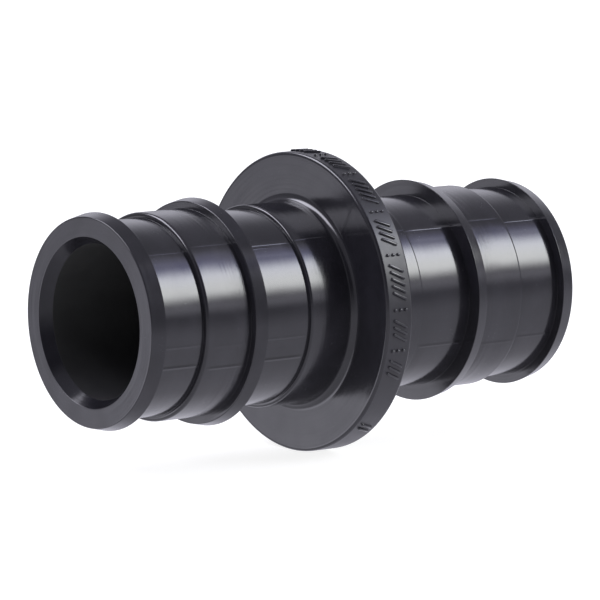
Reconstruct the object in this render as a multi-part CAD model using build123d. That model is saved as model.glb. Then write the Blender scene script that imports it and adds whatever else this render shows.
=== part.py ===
from build123d import *
from math import cos, radians, sin
import os

# A one-piece plastic coupling for 1 in expansion-fit pipe, in millimetres.
# It lies along X and its middle, the centre of the stop flange, is at the origin.
# Each half is the mirror of the other about X = 0.

HALF_LENGTH = 34.6

# Waterway.
BORE_RADIUS = 9.9
MOUTH_RADIUS = 10.85
MOUTH_DEPTH = 1.55

# Outside, from an end face inwards. Distances are measured from the end face.
FACE_RADIUS = 13.35
LIP_RADIUS = 13.8
LIP_LAND_START = 1.8
LIP_END = 2.0
BARREL_RADIUS = 12.6
STEP_START = 8.6
STEP_RADIUS = 13.3
RIB_START = 15.6
RIB_FRONT_RADIUS = 14.25
RIB_RADIUS = 14.6
RIB_LAND_START = 16.95
RIB_END = 17.3
HUB_START = 25.35
HUB_RADIUS = 13.1

# Stop flange.
FLANGE_THICKNESS = 4.3
FLANGE_RADIUS = 19.5

# Roundings. The hub runs into the flange in a hollow curve.
HUB_HOLLOW = 1.05
SHOULDER_ROUND = 0.45
CREST_ROUND = 0.1
LIP_ROUND = 0.15
LIP_BACK_ROUND = 0.12
HUB_ROUND = 0.35
FLANGE_ROUND = 0.45

# Raised marks on the rim of the flange: plain slanted bars and studs with no meaning.
MARK_HEIGHT = 0.25
MARK_WIDTH = 0.36
BAR_LENGTH = 2.4
BAR_LEAN = 25
STUD_LENGTH = 0.5
STUD_PLACE = 0.85
MARKS_START = 84.0
MARK_PITCH = 2.6
# One letter per place around the rim. Each stands for a few raised strokes: (place along X, length, turn).
MARK_KINDS = {
    "z": [(0, BAR_LENGTH, BAR_LEAN)],
    "t": [(-STUD_PLACE, STUD_LENGTH, 0), (0, STUD_LENGTH, 0), (STUD_PLACE, STUD_LENGTH, 0)],
    "_": [],
}
MARK_ORDER = "_zzzz_t_zzzz_t_zzzzz_t_zzzz_t_zzzzz_t_zzz_t_zzz_________zz"


def outline_points():
    """Corners of the outside, from one end face to the flange rim: (distance from end, radius, round)."""
    flange_face = HALF_LENGTH - FLANGE_THICKNESS / 2
    return [
        (0.0, FACE_RADIUS, LIP_ROUND),
        (LIP_LAND_START, LIP_RADIUS, None),
        (LIP_END, LIP_RADIUS, LIP_BACK_ROUND),
        (LIP_END, BARREL_RADIUS, None),
        (STEP_START, BARREL_RADIUS, None),
        (STEP_START, STEP_RADIUS, SHOULDER_ROUND),
        (RIB_START, STEP_RADIUS, None),
        (RIB_START, RIB_FRONT_RADIUS, LIP_ROUND),
        (RIB_LAND_START, RIB_RADIUS, None),
        (RIB_END, RIB_RADIUS, CREST_ROUND),
        (RIB_END, BARREL_RADIUS, None),
        (HUB_START, BARREL_RADIUS, None),
        (HUB_START, HUB_RADIUS, HUB_ROUND),
        (flange_face, HUB_RADIUS, HUB_HOLLOW),
        (flange_face, FLANGE_RADIUS, FLANGE_ROUND),
    ]


def both_ends(points):
    """The points on the -X half followed by their mirror images on the +X half."""
    left = [(distance - HALF_LENGTH, radius) for distance, radius, _ in points]
    right = [(-x, radius) for x, radius in reversed(left)]
    return left + right


def corner_near(section, x, radius):
    """The corner of the section closest to a point of its outline."""
    target = Vector(x, radius, 0)
    return min(section.vertices(), key=lambda corner: (Vector(*corner) - target).length)


def half_section():
    """The wall of the coupling on one side of the axis, as a face with X along the coupling."""
    corners = outline_points()
    mouth = HALF_LENGTH - MOUTH_DEPTH
    inside = [
        (HALF_LENGTH, MOUTH_RADIUS),
        (mouth, BORE_RADIUS),
        (-mouth, BORE_RADIUS),
        (-HALF_LENGTH, MOUTH_RADIUS),
    ]
    section = make_face(Polyline(*both_ends(corners), *inside, close=True))
    for distance, radius, size in corners:
        if size is not None:
            for x in (distance - HALF_LENGTH, HALF_LENGTH - distance):
                section = fillet(corner_near(section, x, radius), radius=size)
    return section


def coupling_body():
    """The whole moulding, turned about X."""
    return revolve(half_section(), axis=Axis.X)


def rim_mark(degrees, place, length, turn):
    """One stroke standing on the rim at an angle about X, measured from +Y towards +Z."""
    outward = Vector(0, cos(radians(degrees)), sin(radians(degrees)))
    foot = outward * (FLANGE_RADIUS - 1) + Vector(place, 0, 0)
    plan = Plane(origin=foot, x_dir=Vector(1, 0, 0), z_dir=outward)
    block = extrude(plan * SlotOverall(length, MARK_WIDTH, rotation=turn), amount=2)
    rim = Rot(0, 90, 0) * Cylinder(FLANGE_RADIUS, 2 * FLANGE_THICKNESS)
    crest = Rot(0, 90, 0) * Cylinder(FLANGE_RADIUS + MARK_HEIGHT, 2 * FLANGE_THICKNESS)
    mark = (block & crest) - rim
    return mark.solids()[0]


def rim_marks():
    """All the marks, side by side around the rim."""
    marks = []
    for step, kind in enumerate(MARK_ORDER):
        for place, length, turn in MARK_KINDS[kind]:
            marks.append(rim_mark(MARKS_START + step * MARK_PITCH, place, length, turn))
    return Compound(children=marks)


os.makedirs("parts", exist_ok=True)
export_step(coupling_body(), "parts/coupling_body.step")
export_step(rim_marks(), "parts/rim_marks.step")
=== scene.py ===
import math

import bmesh
import bpy
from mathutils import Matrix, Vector


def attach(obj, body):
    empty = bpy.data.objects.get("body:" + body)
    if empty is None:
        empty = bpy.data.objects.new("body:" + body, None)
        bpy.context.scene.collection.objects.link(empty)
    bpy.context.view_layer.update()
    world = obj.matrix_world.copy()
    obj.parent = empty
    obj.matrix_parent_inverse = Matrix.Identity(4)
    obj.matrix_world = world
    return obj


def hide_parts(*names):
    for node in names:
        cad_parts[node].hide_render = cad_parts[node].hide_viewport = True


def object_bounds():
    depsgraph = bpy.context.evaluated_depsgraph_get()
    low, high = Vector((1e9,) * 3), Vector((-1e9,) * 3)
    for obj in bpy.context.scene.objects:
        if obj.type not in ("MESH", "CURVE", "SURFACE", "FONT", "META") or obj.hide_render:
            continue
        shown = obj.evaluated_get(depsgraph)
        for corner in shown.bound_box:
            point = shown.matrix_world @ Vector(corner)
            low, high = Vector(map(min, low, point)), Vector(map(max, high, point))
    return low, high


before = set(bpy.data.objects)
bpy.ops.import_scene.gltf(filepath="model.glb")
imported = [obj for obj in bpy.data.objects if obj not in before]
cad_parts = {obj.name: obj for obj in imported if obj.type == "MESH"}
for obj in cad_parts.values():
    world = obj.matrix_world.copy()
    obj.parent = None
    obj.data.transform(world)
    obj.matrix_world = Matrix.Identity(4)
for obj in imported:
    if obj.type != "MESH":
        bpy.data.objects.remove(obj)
CAD_BOX = [list(corner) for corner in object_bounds()]

MM = 0.001

# ---------------------------------------------------------------- sizes, in millimetres
# Distances along the outside are measured from an end face.
HALF_LENGTH = 34.6
BORE_RADIUS = 9.9
MOUTH_RADIUS = 10.85
MOUTH_DEPTH = 1.55
FACE_RADIUS = 13.35
LIP_RADIUS = 13.8
LIP_LAND_START = 1.93
LIP_END = 2.0
BARREL_RADIUS = 12.6
STEP_START = 8.6
STEP_RADIUS = 13.3
RIB_START = 15.6
RIB_FRONT_RADIUS = 14.25
RIB_RADIUS = 14.6
RIB_LAND_START = 17.22
RIB_END = 17.3
HUB_START = 25.35
HUB_RADIUS = 13.1
FLANGE_HALF = 2.15
FLANGE_FACE = HALF_LENGTH - FLANGE_HALF
FLANGE_RADIUS = 19.5

# Roundings. A foot is the inner corner of a step. The hub runs into the flange in a hollow curve.
FACE_ROUND = 0.15
LIP_FRONT_ROUND = 0.1
LIP_BACK_ROUND = 0.05
FOOT_ROUND = 0.015
SHOULDER_ROUND = 0.45
RIB_FRONT_ROUND = 0.16
RIB_CREST_ROUND = 0.1
RIB_BACK_ROUND = 0.06
HUB_ROUND = 0.35
HUB_HOLLOW = 1.05
FLANGE_ROUND = 0.45
MOUTH_ROUND = 0.08
CHAMFER_FOOT_ROUND = 0.1

# How many straight pieces a rounding takes: (for radii below, pieces).
ARC_STEPS = ((0.04, 2), (0.3, 5), (1.0, 7), (math.inf, 12))
# How far apart the outline's points are on straight runs, and how close the first is to each rounding.
PITCH = 1.0
BORE_PITCH = 6.0
GUARD = 0.05


# ---------------------------------------------------------------- the outline
def arc(before, corner, after, size):
    """Points of a rounding of the given radius at a corner between two straight runs."""
    steps = next(pieces for limit, pieces in ARC_STEPS if size < limit)
    a = (Vector(before) - Vector(corner)).normalized()
    b = (Vector(after) - Vector(corner)).normalized()
    half = a.angle(b) / 2
    reach = size / math.tan(half)
    centre = Vector(corner) + (a + b).normalized() * (size / math.sin(half))
    start = Vector(corner) + a * reach - centre
    end = Vector(corner) + b * reach - centre
    sweep = start.angle(end)
    points = []
    for step in range(steps + 1):
        t = step / steps
        mix = (start * math.sin((1 - t) * sweep) + end * math.sin(t * sweep)) / math.sin(sweep)
        points.append(tuple(centre + mix))
    return points


def run(a, b, pitch):
    """Points between two points, neither end included: one close to each end, the rest a pitch apart."""
    length = (Vector(b) - Vector(a)).length
    if length < 3 * GUARD:
        return []
    count = max(1, math.ceil(length / pitch))
    shares = [i / count for i in range(1, count)]
    shares = [GUARD / length] + shares + [1 - GUARD / length]
    return [tuple(Vector(a).lerp(Vector(b), share)) for share in shares]


def corners():
    """Corners of the wall, (x, radius, rounding): outside from -X to +X, then back along the bore."""
    left = [
        (0.0, FACE_RADIUS, FACE_ROUND),
        (LIP_LAND_START, LIP_RADIUS, LIP_FRONT_ROUND),
        (LIP_END, LIP_RADIUS, LIP_BACK_ROUND),
        (LIP_END, BARREL_RADIUS, FOOT_ROUND),
        (STEP_START, BARREL_RADIUS, FOOT_ROUND),
        (STEP_START, STEP_RADIUS, SHOULDER_ROUND),
        (RIB_START, STEP_RADIUS, FOOT_ROUND),
        (RIB_START, RIB_FRONT_RADIUS, RIB_FRONT_ROUND),
        (RIB_LAND_START, RIB_RADIUS, RIB_CREST_ROUND),
        (RIB_END, RIB_RADIUS, RIB_BACK_ROUND),
        (RIB_END, BARREL_RADIUS, FOOT_ROUND),
        (HUB_START, BARREL_RADIUS, FOOT_ROUND),
        (HUB_START, HUB_RADIUS, HUB_ROUND),
        (FLANGE_FACE, HUB_RADIUS, HUB_HOLLOW),
        (FLANGE_FACE, FLANGE_RADIUS, FLANGE_ROUND),
    ]
    outside = [(x - HALF_LENGTH, radius, size) for x, radius, size in left]
    outside += [(-x, radius, size) for x, radius, size in reversed(outside)]
    mouth = HALF_LENGTH - MOUTH_DEPTH
    inside = [
        (HALF_LENGTH, MOUTH_RADIUS, MOUTH_ROUND),
        (mouth, BORE_RADIUS, CHAMFER_FOOT_ROUND),
        (-mouth, BORE_RADIUS, CHAMFER_FOOT_ROUND),
        (-HALF_LENGTH, MOUTH_RADIUS, MOUTH_ROUND),
    ]
    return outside + inside


def section():
    """The closed outline of the wall with its corners rounded, as (x, radius) in mm."""
    sharp = corners()
    outline = []
    for i, (x, radius, size) in enumerate(sharp):
        before = sharp[i - 1][:2]
        after = sharp[(i + 1) % len(sharp)][:2]
        points = arc(before, (x, radius), after, size)
        if outline:
            outline += run(outline[-1], points[0], BORE_PITCH if radius < MOUTH_RADIUS else PITCH)
        outline += points
    return outline + run(outline[-1], outline[0], PITCH)


# ---------------------------------------------------------------- mould seams
# Each is (from x, to x, angle, ridge height, step in radius across it, length over which the surface climbs
# to the step, length over which the step dies away, strength of the painted shade and painted highlight
# beside it), in mm and degrees.
UPPER_SEAMS = [
    (-32.5, -26.1, 133.7, 0.009, 0.05, 0.6, 1.8, 0.0),
    (-25.2, -19.4, 133.0, 0.01, 0.035, 0.6, 1.8, 0.0),
    (-17.2, -9.6, 134.1, 0.016, 0.07, 0.6, 1.8, 0.0),
    (-17.2, -13.0, 136.2, 0.01, 0.0, 0.0, 0.0, 0.0),
    (-9.2, -3.4, 134.0, 0.012, 0.0, 0.0, 0.0, 0.0),
    (3.4, 9.2, 134.0, 0.012, 0.0, 0.0, 0.0, 0.0),
    (9.6, 17.2, 133.4, 0.018, 0.07, 0.6, 1.8, 0.0),
    (19.4, 25.2, 132.6, 0.014, 0.035, 0.6, 1.8, 0.0),
    (26.1, 32.5, 133.7, 0.016, 0.05, 0.6, 1.8, 0.0),
]
LOWER_SEAMS = [
    (-32.5, -26.1, 202.2, 0.0, 0.078, 0.3, 8.0, 0.9),
    (-25.2, -19.4, 203.2, 0.0, 0.075, 0.3, 8.0, 0.75),
    (-17.2, -9.7, 203.8, 0.0, 0.082, 0.3, 5.0, 1.0),
    (9.7, 17.2, 206.5, 0.0, 0.075, 0.3, 8.0, 0.6),
    (19.4, 25.2, 207.4, 0.0, 0.07, 0.3, 8.0, 0.35),
    (26.1, 32.5, 207.6, 0.0, 0.075, 0.3, 8.0, 0.4),
    (-32.5, -26.1, 189.8, 0.006, 0.01, 0.25, 2.0, 0.45),
    (-25.2, -19.4, 190.6, 0.004, 0.008, 0.25, 2.0, 0.3),
    (-17.2, -9.6, 190.7, 0.006, 0.01, 0.25, 2.0, 0.45),
    (9.6, 17.2, 192.0, 0.004, 0.008, 0.25, 2.0, 0.2),
]
NEAR_SEAMS = UPPER_SEAMS + LOWER_SEAMS
# The other side repeats them, half a turn on.
SEAMS = NEAR_SEAMS + [(low, high, angle - 180.0, *rest) for low, high, angle, *rest in NEAR_SEAMS]

# Width of a ridge, and the length over which a seam fades out at each end.
SEAM_WIDTH = 0.07
SEAM_FADE = 0.3
# Painted highlight and painted shade beside a seam: where the middle of each is across the seam and how wide
# it is, and how far from the seam they are looked for, in degrees. The highlight is on the standing edge, the
# shade above it.
SEAM_HIGHLIGHT_BAND = (0.16, 0.15)
SEAM_SHADE_BAND = (-0.18, 0.13)
SEAM_PAINT_REACH = 3

# A seam across each face of the flange: its radius and angle at both ends, and the height of its ridge.
FACE_SEAM_INNER = (14.3, 135.6)
FACE_SEAM_OUTER = (18.6, 131.8)
FACE_SEAM_HEIGHT = 0.03
FACE_SEAM_FADE = 0.4


def turn_from(angle, centre, whole=360):
    """How far an angle is past a centre, in degrees, the shorter way round, where whole is one full round."""
    return (angle - centre + whole / 2) % whole - whole / 2


def fade(value, low, high, width):
    """1 between low and high, falling to 0 over width at each end."""
    inside = min(value - low, high - value)
    return max(0.0, min(1.0, inside / width + 0.5))


def hump(off, width):
    """A smooth rise and fall, 1 in the middle and about a third at the width."""
    return math.exp(-((off / width) ** 2))


def seam_lift(x, angle, radius):
    """How far the seams move the surface outwards at a point, in mm."""
    lift = 0.0
    for low, high, centre, ridge, step, lead, reach, _ in SEAMS:
        along = fade(x, low, high, SEAM_FADE)
        if along == 0.0:
            continue
        off = math.radians(turn_from(angle, centre)) * radius
        if abs(off) < 4 * SEAM_WIDTH:
            lift += along * ridge * hump(off, SEAM_WIDTH)
        if step and -lead <= off < reach:
            climb = min(1.0, (off + lead) / lead)
            fall = 1 - max(0.0, off) / reach
            lift += along * step * climb * climb * fall
    return lift


def seams_with_painted_light(angle):
    """The seams close to an angle that have painted shade and a painted highlight beside them."""
    return [seam for seam in SEAMS if seam[-1] and abs(turn_from(angle, seam[2])) < SEAM_PAINT_REACH]


def seam_painted_light(seams_here, x, angle, radius):
    """How much painted light the seams put at a point: up to 1 for the painted highlight on the standing
    edge, down to -1 for the painted shade above it.
    """
    painted_light = 0.0
    for low, high, centre, *_, strength in seams_here:
        share = strength * fade(x, low, high, SEAM_FADE)
        if share:
            off = math.radians(turn_from(angle, centre)) * radius
            # Plus for the painted highlight, minus for the painted shade.
            for sign, (middle, width) in ((1, SEAM_HIGHLIGHT_BAND), (-1, SEAM_SHADE_BAND)):
                painted_light += sign * share * hump(off - middle, width)
    return painted_light


def face_seam_lift(angle, radius):
    """How far the seam on a face of the flange stands out of it, in mm."""
    inner, start = FACE_SEAM_INNER
    outer, end = FACE_SEAM_OUTER
    share = (radius - inner) / (outer - inner)
    centre = start + (end - start) * share
    off = math.radians(turn_from(angle, centre, 180)) * radius
    return fade(radius, inner, outer, FACE_SEAM_FADE) * FACE_SEAM_HEIGHT * hump(off, SEAM_WIDTH)


# ---------------------------------------------------------------- the moulding
# The outline is repeated around the axis at these steps, in degrees: everywhere, beside the seams along the
# barrels, and over the stretches of the flange's faces where their seams run.
TURN_STEP = 0.9
SEAM_STEP = 0.15
SEAM_STEPS = range(-9, 11)
FACE_STEP = 0.1
FACE_STEPS = range(46)
FACE_STRETCHES = (131.5, 311.5)
# How far a point may be from a barrel or from a face of the flange, in mm, and still count as on it.
BARREL_SLACK = 0.01
FACE_SLACK = 0.001
# Finishes, as places in the list of the shell's materials, and how far inside an edge they change.
MOULDED, BORE, MOUTH, RIM = range(4)
FINISH_EDGE = 0.02
MOUTH_EDGE = 0.03


def around():
    """Angles in degrees at which the outline is repeated, closer together at the seams."""
    angles = {round(i * TURN_STEP, 4) for i in range(round(360 / TURN_STEP))}
    for _, _, centre, *_ in SEAMS:
        for i in SEAM_STEPS:
            angles.add(round((centre + i * SEAM_STEP) % 360, 4))
    for first in FACE_STRETCHES:
        for i in FACE_STEPS:
            angles.add(round(first + i * FACE_STEP, 4))
    return sorted(angles)


def on_barrel(radius):
    """Whether a radius is that of a barrel or hub, where seams run along."""
    return BARREL_RADIUS - BARREL_SLACK < radius < STEP_RADIUS + BARREL_SLACK


def seamed(x, radius, angle):
    """Where the seams put a point of the outline at an angle, as (x, radius)."""
    if on_barrel(radius):
        return x, radius + seam_lift(x, angle, radius)
    if abs(abs(x) - FLANGE_HALF) < FACE_SLACK:
        return math.copysign(abs(x) + face_seam_lift(angle, radius), x), radius
    return x, radius


def finish_at(radius):
    """Which finish the wall has at a radius."""
    if radius < BORE_RADIUS + FINISH_EDGE:
        return BORE
    if radius < MOUTH_RADIUS - MOUTH_EDGE:
        return MOUTH
    return RIM if radius > FLANGE_RADIUS - FINISH_EDGE else MOULDED


def shell_points(outline, angles):
    """The vertices of the shell in metres, and how much painted highlight or painted shade from the seams
    each has.
    """
    vertices = []
    painted_lights = []
    for angle in angles:
        turn = math.radians(angle)
        # The seams near this angle that have painted shade and a painted highlight beside them.
        painted_seams = seams_with_painted_light(angle)
        for x, radius in outline:
            along, out = seamed(x, radius, angle)
            vertices.append((along * MM, out * MM * math.cos(turn), out * MM * math.sin(turn)))
            painted_lights.append(seam_painted_light(painted_seams, x, angle, radius) if on_barrel(radius) else 0.0)
    return vertices, painted_lights


def shell_faces(outline, turns):
    """The faces of the shell between one angle and the next, and the finish of each."""
    faces = []
    finishes = []
    width = len(outline)
    for i in range(turns):
        here = i * width
        there = ((i + 1) % turns) * width
        for j in range(width):
            k = (j + 1) % width
            faces.append((here + j, here + k, there + k, there + j))
            finishes.append(finish_at((outline[j][1] + outline[k][1]) / 2))
    return faces, finishes


def placed(data):
    """An object in the scene for a mesh or camera, with its name."""
    thing = bpy.data.objects.new(data.name, data)
    bpy.context.collection.objects.link(thing)
    return thing


def moulding():
    """The whole coupling, turned about X."""
    outline = section()
    angles = around()
    vertices, painted_lights = shell_points(outline, angles)
    faces, finishes = shell_faces(outline, len(angles))
    mesh = bpy.data.meshes.new("coupling_shell")
    mesh.from_pydata(vertices, [], faces)
    mesh.polygons.foreach_set("material_index", finishes)
    # Painted light from the seams, per vertex: up to 1 for the painted highlight, down to -1 for the painted
    # shade.
    mesh.attributes.new("painted_light", "FLOAT", "POINT").data.foreach_set("value", painted_lights)
    mesh.shade_smooth()
    bm = bmesh.new()
    bm.from_mesh(mesh)
    bmesh.ops.recalc_face_normals(bm, faces=bm.faces)
    bm.to_mesh(mesh)
    bm.free()
    return placed(mesh)


# ---------------------------------------------------------------- raised marks on the rim
MARK_HEIGHT = 0.25
MARK_WIDTH = 0.36
BAR_LENGTH = 2.4
BAR_LEAN = 25
STUD_LENGTH = 0.5
STUD_PLACE = 0.85
MARKS_START = 84.0
MARK_PITCH = 2.6
# One letter per place around the rim. Each stands for a few raised strokes: (place along X, length, turn).
MARK_KINDS = {
    "z": [(0, BAR_LENGTH, BAR_LEAN)],
    "t": [(-STUD_PLACE, STUD_LENGTH, 0), (0, STUD_LENGTH, 0), (STUD_PLACE, STUD_LENGTH, 0)],
    "_": [],
}
MARK_ORDER = "_zzzz_t_zzzz_t_zzzzz_t_zzzz_t_zzzzz_t_zzz_t_zzz_________zz"
# How a stroke's side rolls over, from its foot in the rim to its top:
# (distance inwards, height above the rim).
STROKE_SIDE = [
    (-0.07, -0.04),
    (-0.03, 0.015),
    (0.0, 0.08),
    (0.015, 0.17),
    (0.05, 0.225),
    (0.11, MARK_HEIGHT),
]
END_STEPS = 8


def stroke_ring(degrees, place, reach, lean, size, radius):
    """One closed line around a stroke at a radius in mm, as points in metres."""
    ring = []
    for end, start in ((1, -90), (-1, 90)):
        for step in range(END_STEPS + 1):
            bend = math.radians(start + step * 180 / END_STEPS)
            u = end * reach + size * math.cos(bend)
            v = size * math.sin(bend)
            x = place + u * math.cos(lean) - v * math.sin(lean)
            around_rim = u * math.sin(lean) + v * math.cos(lean)
            angle = math.radians(degrees) + around_rim / FLANGE_RADIUS
            ring.append((x * MM, radius * MM * math.cos(angle), radius * MM * math.sin(angle)))
    return ring


def stroke(bm, degrees, place, length, turn):
    """Adds one raised stroke with rounded ends, standing on the rim at the angle."""
    reach = (length - MARK_WIDTH) / 2
    lean = math.radians(turn)
    rings = []
    for inwards, height in STROKE_SIDE:
        size = MARK_WIDTH / 2 - inwards
        spots = stroke_ring(degrees, place, reach, lean, size, FLANGE_RADIUS + height)
        rings.append([bm.verts.new(spot) for spot in spots])
    count = len(rings[0])
    for low, high in zip(rings, rings[1:]):
        for i in range(count):
            k = (i + 1) % count
            bm.faces.new((low[i], low[k], high[k], high[i]))
    bm.faces.new(rings[-1])
    bm.faces.new(rings[0])


def rim_marks():
    """All the marks around the rim of the flange."""
    mesh = bpy.data.meshes.new("raised_marks")
    bm = bmesh.new()
    for step, kind in enumerate(MARK_ORDER):
        for place, length, turn in MARK_KINDS[kind]:
            stroke(bm, MARKS_START + step * MARK_PITCH, place, length, turn)
    bmesh.ops.recalc_face_normals(bm, faces=bm.faces)
    bm.to_mesh(mesh)
    bm.free()
    mesh.shade_smooth()
    return placed(mesh)


# ---------------------------------------------------------------- node helpers
def feed(tree, socket, value):
    """Links the output of another node to a socket, or sets the socket to a fixed value."""
    if isinstance(value, bpy.types.NodeSocket):
        tree.links.new(value, socket)
    else:
        socket.default_value = value


def math_node(tree, operation, *values):
    node = tree.nodes.new("ShaderNodeMath")
    node.operation = operation
    for socket, value in zip(node.inputs, values):
        feed(tree, socket, value)
    return node.outputs[0]


def ramp(tree, value, low, high, start, end):
    """Smooth change from start to end as value goes from low to high."""
    node = tree.nodes.new("ShaderNodeMapRange")
    node.interpolation_type = "SMOOTHSTEP"
    tree.links.new(value, node.inputs["Value"])
    node.inputs["From Min"].default_value = low
    node.inputs["From Max"].default_value = high
    node.inputs["To Min"].default_value = start
    node.inputs["To Max"].default_value = end
    return node.outputs["Result"]


def noise(tree, place, scale, detail, roughness=0.5):
    node = tree.nodes.new("ShaderNodeTexNoise")
    tree.links.new(place, node.inputs["Vector"])
    node.inputs["Scale"].default_value = scale
    node.inputs["Detail"].default_value = detail
    node.inputs["Roughness"].default_value = roughness
    return node.outputs["Fac"]


def blended(tree, share, under, tone):
    """The colour under, changed towards a fixed tone by the share."""
    node = tree.nodes.new("ShaderNodeMix")
    node.data_type = "RGBA"
    tree.links.new(share, node.inputs["Factor"])
    feed(tree, node.inputs["A"], under)
    node.inputs["B"].default_value = tone
    return node.outputs["Result"]


def bump(tree, height, depth, below=None):
    """A bump of the given depth in metres, on top of another one if given."""
    node = tree.nodes.new("ShaderNodeBump")
    node.inputs["Strength"].default_value = 1.0
    node.inputs["Distance"].default_value = depth
    tree.links.new(height, node.inputs["Height"])
    if below is not None:
        tree.links.new(below, node.inputs["Normal"])
    return node.outputs["Normal"]


# ---------------------------------------------------------------- material
OUTER_TONES = ((0.0125, 0.0121, 0.0155, 1), (0.0165, 0.016, 0.0205, 1))
BORE_TONES = ((0.036, 0.036, 0.037, 1), (0.041, 0.041, 0.042, 1))
# Colours painted beside the lower seams: a painted shade line above each, and a painted highlight on its
# standing edge.
SEAM_SHADE_TONE = (0.002, 0.002, 0.0025, 1)
SEAM_HIGHLIGHT_TONE = (0.038, 0.037, 0.043, 1)
# Lowest and highest roughness.
GLOSSY = (0.12, 0.17)
SATIN = (0.36, 0.44)
DULL = (0.5, 0.56)
# The finishes of the shell in the order of their places, and that of the marks:
# (name, tones, roughness, specular level, depth of the rings, depth of the waves), depths in metres.
SHELL_FINISHES = (
    ("moulded_plastic", OUTER_TONES, GLOSSY, 0.5, 0.0000025, 0.000009),
    ("bore_plastic", BORE_TONES, DULL, 0.05, 0.0000025, 0.000008),
    ("mouth_plastic", OUTER_TONES, GLOSSY, 0.3, 0.0000025, 0.000008),
    ("rim_plastic", OUTER_TONES, SATIN, 0.45, 0.000004, 0.000008),
)
MARK_FINISH = ("mark_plastic", OUTER_TONES, GLOSSY, 0.5, 0.000001, 0.000002)

IOR = 1.6
# Noise per metre: broad mottling and swelling, waves and rings around the axis, dust specks.
MOTTLE_SCALE = 260
SWELL_SCALE = 190
WAVE_SCALE = 1500
RING_SCALE = 5200
RING_ROUGHNESS = 0.65
SPECK_SCALE = 5200
SWELL_DEPTH = 0.00003
SPECK_DEPTH = 0.0000015
# How much of the way around goes into the rings' pattern, so that they fade in and out.
RING_DRIFT = 0.0006
# Levels of the noise between which the tone, the roughness and the dust change.
TONE_LEVELS = (0.35, 0.65)
ROUGHNESS_LEVELS = (0.3, 0.7)
DUST_LEVELS = (0.66, 0.74)
DUST_ROUGHNESS = 0.12
# The tool left coarser rings beside the foot of each sealing rib: where they come in and go out, in metres
# from the middle of the coupling, and how many times as deep again they make the waves and the rings.
RIB_RINGS_IN = (0.0188, 0.0194)
RIB_RINGS_OUT = (0.0204, 0.023)
DEEPER_WAVES = 4.5
DEEPER_RINGS = 9.0


def turned_place(tree):
    """A point's place, then its distance along and from the axis, so that a pattern in it runs in rings, and
    last its distance from the middle of the coupling."""
    place = tree.nodes.new("ShaderNodeTexCoord").outputs["Object"]
    split = tree.nodes.new("ShaderNodeSeparateXYZ")
    tree.links.new(place, split.inputs[0])
    y = split.outputs["Y"]
    z = split.outputs["Z"]
    squares = math_node(tree, "ADD", math_node(tree, "MULTIPLY", y, y), math_node(tree, "MULTIPLY", z, z))
    turned = tree.nodes.new("ShaderNodeCombineXYZ")
    tree.links.new(split.outputs["X"], turned.inputs["X"])
    tree.links.new(math_node(tree, "SQRT", squares), turned.inputs["Y"])
    drift = math_node(tree, "MULTIPLY", math_node(tree, "ARCTAN2", z, y), RING_DRIFT)
    tree.links.new(drift, turned.inputs["Z"])
    return place, turned.outputs[0], math_node(tree, "ABSOLUTE", split.outputs["X"])


def colour_with_painted_seam_light(tree, mottle, tones):
    """Mottled between two tones, with painted shade in a line above a seam and a painted highlight on its
    standing edge.
    """
    colour = blended(tree, ramp(tree, mottle, *TONE_LEVELS, 0.0, 1.0), *tones)
    painted_light = tree.nodes.new("ShaderNodeAttribute")
    painted_light.attribute_name = "painted_light"
    # Painted shade where the seams' value is below 0, painted highlight where it is above.
    painted_shade = ramp(tree, painted_light.outputs["Fac"], -1.0, 0.0, 1.0, 0.0)
    painted_highlight = ramp(tree, painted_light.outputs["Fac"], 0.0, 1.0, 0.0, 1.0)
    with_painted_shade = blended(tree, painted_shade, colour, SEAM_SHADE_TONE)
    return blended(tree, painted_highlight, with_painted_shade, SEAM_HIGHLIGHT_TONE)


def deepened(tree, pattern, share, gain):
    """The pattern, deeper by gain times itself where the share is 1."""
    return math_node(tree, "MULTIPLY", pattern, math_node(tree, "MULTIPLY_ADD", share, gain, 1.0))


def uneven_surface(tree, place, turned, off_middle, specks, ring_depth, wave_depth):
    """The surface's direction with its swelling, waves, rings and dust specks."""
    rings = noise(tree, turned, RING_SCALE, 4, RING_ROUGHNESS)
    waves = noise(tree, turned, WAVE_SCALE, 2)
    swell = noise(tree, place, SWELL_SCALE, 1)
    coming = ramp(tree, off_middle, *RIB_RINGS_IN, 0.0, 1.0)
    going = ramp(tree, off_middle, *RIB_RINGS_OUT, 1.0, 0.0)
    beside_rib = math_node(tree, "MULTIPLY", coming, going)
    swollen = bump(tree, swell, SWELL_DEPTH)
    waved = bump(tree, deepened(tree, waves, beside_rib, DEEPER_WAVES), wave_depth, swollen)
    ringed = bump(tree, deepened(tree, rings, beside_rib, DEEPER_RINGS), ring_depth, waved)
    return bump(tree, specks, SPECK_DEPTH, ringed)


def black_plastic(name, tones, haze_range, gloss, ring_depth, wave_depth):
    """Black moulded plastic with a faint blue cast, rings from the turned mould, light handling marks (dust
    specks), and painted shade and painted highlights beside the lower seams.
    """
    material = bpy.data.materials.new(name)
    material.use_nodes = True
    tree = material.node_tree
    shader = tree.nodes["Principled BSDF"]
    shader.inputs["IOR"].default_value = IOR
    shader.inputs["Specular IOR Level"].default_value = gloss
    place, turned, off_middle = turned_place(tree)
    mottle = noise(tree, place, MOTTLE_SCALE, 3)
    specks = noise(tree, place, SPECK_SCALE, 2)
    tree.links.new(colour_with_painted_seam_light(tree, mottle, tones), shader.inputs["Base Color"])
    haze = ramp(tree, mottle, *ROUGHNESS_LEVELS, *haze_range)
    dusty = ramp(tree, specks, *DUST_LEVELS, 0.0, DUST_ROUGHNESS)
    tree.links.new(math_node(tree, "ADD", haze, dusty), shader.inputs["Roughness"])
    normal = uneven_surface(tree, place, turned, off_middle, specks, ring_depth, wave_depth)
    tree.links.new(normal, shader.inputs["Normal"])
    return material


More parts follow.
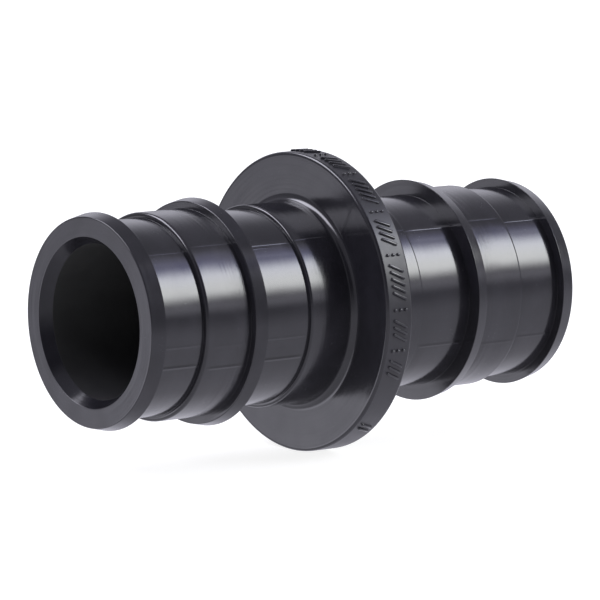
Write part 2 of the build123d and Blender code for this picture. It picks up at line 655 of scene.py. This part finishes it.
# ---------------------------------------------------------------- camera and floor
CAMERA_PLACE = (-0.3644, -0.4615, 0.0779)
CAMERA_AZIMUTH = 38.23
CAMERA_DROP = 7.54
LENS = 273.9
SENSOR = 36
CLIP_START = 0.01
CLIP_END = 20

FLOOR_REACH = 3.0
FLOOR_GREY = 0.35
FLOOR_GLOW = 0.86


def camera():
    """The camera, with a long lens, at one end of the coupling and a little above it."""
    data = bpy.data.cameras.new("camera")
    data.sensor_width = SENSOR
    data.lens = LENS
    data.clip_start = CLIP_START
    data.clip_end = CLIP_END
    view = placed(data)
    view.location = CAMERA_PLACE
    view.rotation_euler = (math.radians(90 - CAMERA_DROP), 0, -math.radians(CAMERA_AZIMUTH))
    bpy.context.scene.camera = view


def floor():
    """A plain white sheet under the coupling."""
    low = CAD_BOX[0][2]
    mesh = bpy.data.meshes.new("floor")
    quarters = [(-1, -1), (1, -1), (1, 1), (-1, 1)]
    mesh.from_pydata([(x * FLOOR_REACH, y * FLOOR_REACH, low) for x, y in quarters], [], [(0, 1, 2, 3)])
    sheet = placed(mesh)
    material = bpy.data.materials.new("floor_white")
    material.use_nodes = True
    shader = material.node_tree.nodes["Principled BSDF"]
    shader.inputs["Base Color"].default_value = (FLOOR_GREY, FLOOR_GREY, FLOOR_GREY, 1)
    shader.inputs["Roughness"].default_value = 1.0
    shader.inputs["Specular IOR Level"].default_value = 0.0
    shader.inputs["Emission Color"].default_value = (1, 1, 1, 1)
    shader.inputs["Emission Strength"].default_value = FLOOR_GLOW
    mesh.materials.append(material)
    # The coupling mirrors the room light instead, which has its own floor.
    sheet.visible_glossy = False


# ---------------------------------------------------------------- light
# Soft patches of light in the room, seen from the coupling, in degrees. Azimuth is from +X towards +Y.
# (tint, azimuth, elevation, half width, half height, soft edge across, soft edge up, brightness)
WARM = (1.0, 1.02, 1.02)
COOL = (1.0, 0.99, 1.12)
BLUE = (0.0, 0.05, 1.0)
KEY = (WARM, -43.5, 30.4, 18.5, 11.0, 11.5, 6.0, 8.6)
KEY_BLUE = (BLUE, -43, 41, 20, 8, 12, 7, 0.95)
KEY_GLOW = (COOL, -43, 50, 21, 7, 12, 7, 1.1)
KEY_TAIL = (COOL, -43, 11, 21, 4, 12, 5, 1.0)
FILL = (COOL, 136, 49.5, 38, 11.5, 8, 5.5, 6.8)
BACK_WALL = (COOL, 47, 22, 30, 14, 14, 14, 0.68)
BACK_FLOOR = (COOL, 148, -16, 22.2, 10, 3.2, 8, 1.5)
FRONT_FLOOR = (COOL, -35, -38, 30, 26, 12, 12, 0.12)
UNDER = (COOL, 40, -38, 36, 18, 24, 15, 0.3)
# The dark side of the room, behind the camera: it takes light away.
DARK_SIDE = (COOL, -118, 35, 26, 27, 12, 10, -0.27)
LIGHTS = (KEY, KEY_BLUE, KEY_GLOW, KEY_TAIL, FILL, BACK_WALL, BACK_FLOOR, FRONT_FLOOR, UNDER, DARK_SIDE)
# Brightness of the room and of its floor, and the elevations between which one turns into the other.
ROOM_LEVEL = 0.3
FLOOR_LEVEL = 0.63
HORIZON = (-14, 4)


def tinted(tree, strength, tint):
    """A colour that is the tint times the strength."""
    node = tree.nodes.new("ShaderNodeVectorMath")
    node.operation = "SCALE"
    node.inputs[0].default_value = tint
    tree.links.new(strength, node.inputs["Scale"])
    return node.outputs[0]


def both(tree, first, second):
    """The sum of two colours."""
    node = tree.nodes.new("ShaderNodeVectorMath")
    node.operation = "ADD"
    tree.links.new(first, node.inputs[0])
    tree.links.new(second, node.inputs[1])
    return node.outputs[0]


def combined(tree, operation, first, first_gain, second, second_gain):
    """The sum or difference of two values, each times a gain."""
    first_part = math_node(tree, "MULTIPLY", first, first_gain)
    second_part = math_node(tree, "MULTIPLY", second, second_gain)
    return math_node(tree, operation, first_part, second_part)


def patch(tree, place, tint, azimuth, elevation, half_width, half_height, soft_across, soft_up, brightness):
    """Light from one soft-edged patch, as a colour."""
    x, y, height = place
    turn = math.radians(azimuth)
    ahead = combined(tree, "ADD", x, math.cos(turn), y, math.sin(turn))
    aside = combined(tree, "SUBTRACT", y, math.cos(turn), x, math.sin(turn))
    off = math_node(tree, "ABSOLUTE", math_node(tree, "DEGREES", math_node(tree, "ARCTAN2", aside, ahead)))
    rise = math_node(tree, "ABSOLUTE", math_node(tree, "SUBTRACT", height, elevation))
    wide = ramp(tree, off, half_width - soft_across, half_width + soft_across, 1.0, 0.0)
    tall = ramp(tree, rise, half_height - soft_up, half_height + soft_up, brightness, 0.0)
    return tinted(tree, math_node(tree, "MULTIPLY", wide, tall), tint)


def room():
    """Light from all around: soft patches in a dim room with a pale floor. The camera sees plain white."""
    world = bpy.data.worlds.new("room")
    world.use_nodes = True
    bpy.context.scene.world = world
    tree = world.node_tree
    split = tree.nodes.new("ShaderNodeSeparateXYZ")
    tree.links.new(tree.nodes.new("ShaderNodeTexCoord").outputs["Generated"], split.inputs[0])
    height = math_node(tree, "DEGREES", math_node(tree, "ARCSINE", split.outputs["Z"]))
    place = (split.outputs["X"], split.outputs["Y"], height)
    light = tinted(tree, ramp(tree, height, *HORIZON, FLOOR_LEVEL, ROOM_LEVEL), COOL)
    for lamp in LIGHTS:
        light = both(tree, light, patch(tree, place, *lamp))
    lit = tree.nodes["Background"]
    tree.links.new(light, lit.inputs["Color"])
    white = tree.nodes.new("ShaderNodeBackground")
    white.inputs["Color"].default_value = (1, 1, 1, 1)
    seen = tree.nodes.new("ShaderNodeLightPath")
    blend = tree.nodes.new("ShaderNodeMixShader")
    tree.links.new(seen.outputs["Is Camera Ray"], blend.inputs[0])
    tree.links.new(lit.outputs[0], blend.inputs[1])
    tree.links.new(white.outputs[0], blend.inputs[2])
    tree.links.new(blend.outputs[0], tree.nodes["World Output"].inputs["Surface"])


shell = moulding()
marks = rim_marks()
for finish in SHELL_FINISHES:
    shell.data.materials.append(black_plastic(*finish))
marks.data.materials.append(black_plastic(*MARK_FINISH))
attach(shell, "root")
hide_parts("coupling_body")
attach(marks, "root")
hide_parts("rim_marks")
camera()
floor()
room()
bpy.context.scene.view_settings.view_transform = "Standard"
bpy.context.scene.view_settings.look = "None"
